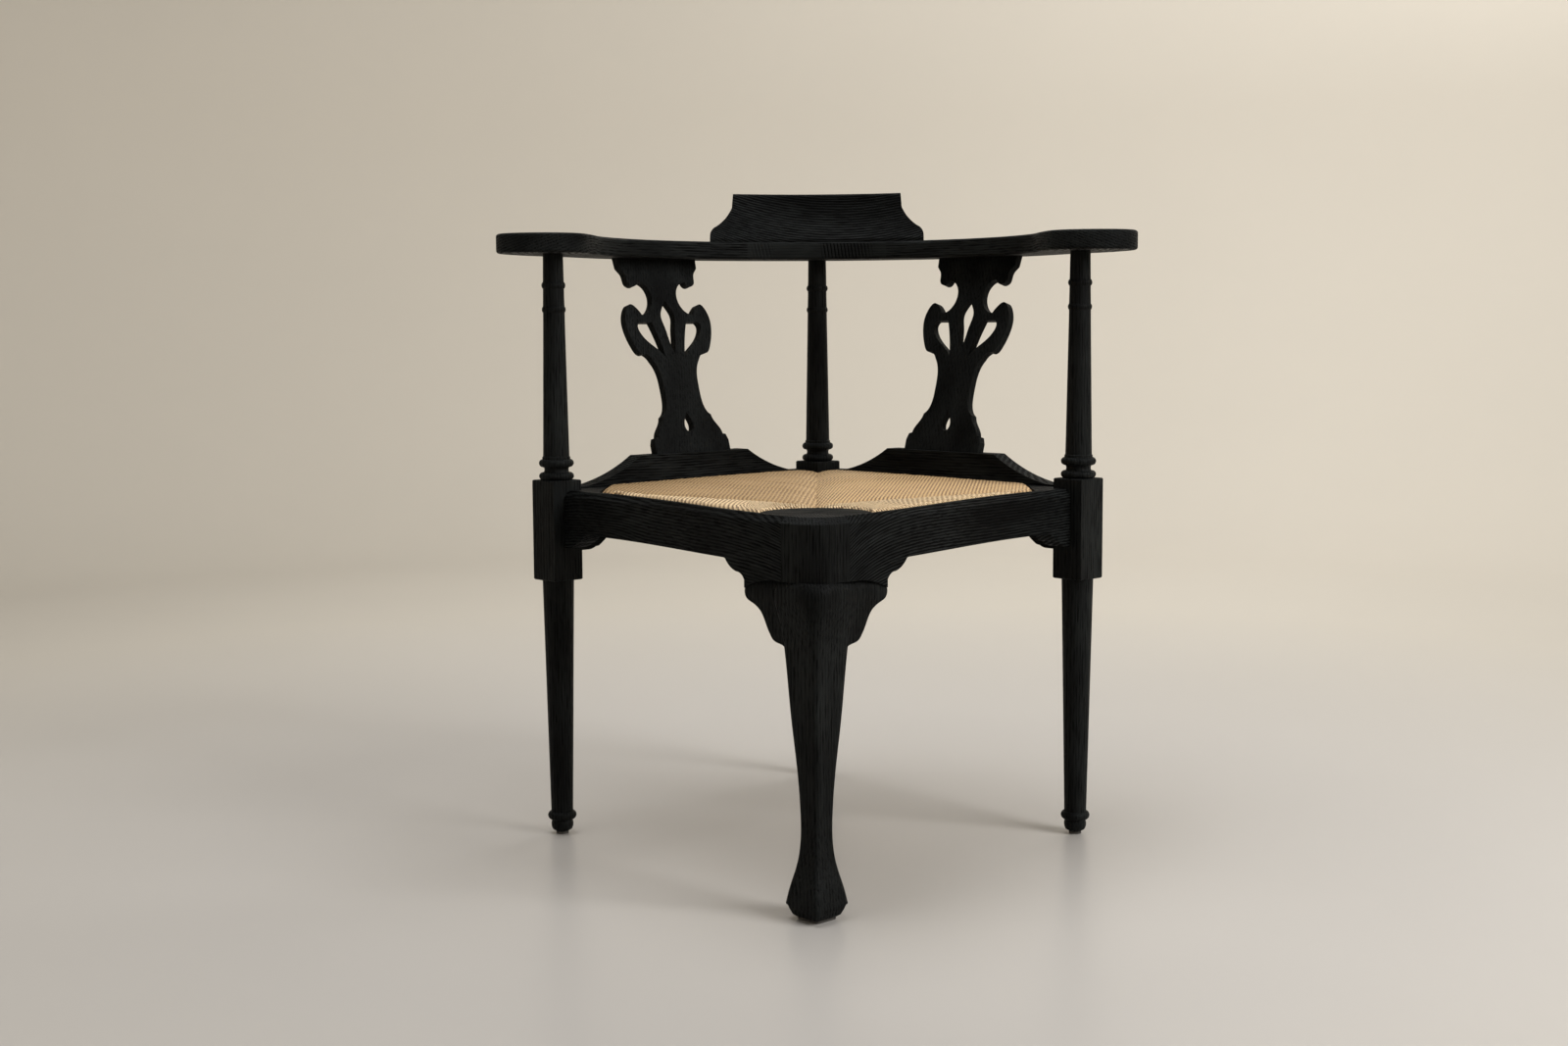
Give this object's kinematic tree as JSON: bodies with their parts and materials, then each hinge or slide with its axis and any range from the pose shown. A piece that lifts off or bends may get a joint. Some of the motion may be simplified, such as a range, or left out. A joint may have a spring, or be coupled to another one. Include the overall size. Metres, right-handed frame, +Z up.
{
  "type": "corner chair",
  "caption": "Ebonised corner chair with a bowed arm and crest, turned posts, pierced splats, serpentine front rails, a cabriole front leg and a drop-in rush seat.",
  "frame": {"origin": "Middle of the chair's plan at floor level.", "axes": "+X towards the turned leg on the right as the picture shows it, +Y towards the rear leg, +Z up."},
  "size_m": [0.7622, 0.7296, 0.7945],
  "materials": {
    "ebonised_oak": "black satin over open grain",
    "plain_oak": "planed, unfinished",
    "rush": "twisted dry rush, matt",
    "steel": "plain",
    "felt": "pressed felt"
  },
  "bodies": {
    "root": {"left_leg": "ebonised_oak", "right_leg": "ebonised_oak", "rear_leg": "ebonised_oak", "front_leg": "ebonised_oak", "knee_bracket_left": "ebonised_oak", "knee_bracket_right": "ebonised_oak", "front_rail_left": "ebonised_oak", "front_rail_right": "ebonised_oak", "back_rail_left": "ebonised_oak", "back_rail_right": "ebonised_oak", "shoe_left": "ebonised_oak", "shoe_right": "ebonised_oak", "splat_left": "ebonised_oak", "splat_right": "ebonised_oak", "arm_left": "ebonised_oak", "arm_right": "ebonised_oak", "arm_centre": "ebonised_oak", "crest": "ebonised_oak", "front_corner_block": "ebonised_oak", "side_block_left": "ebonised_oak", "side_block_right": "ebonised_oak", "seat_frame_front_left": "plain_oak", "seat_frame_front_right": "plain_oak", "seat_frame_back_left": "plain_oak", "seat_frame_back_right": "plain_oak", "rear_corner_block": "plain_oak", "seat_cleat_left": "plain_oak", "seat_cleat_right": "plain_oak", "rush_seat": "rush", "cleat_screws": "steel", "crest_screws": "steel", "foot_glides": "felt", "front_foot_pad": "felt"}
  },
  "joints": []
}
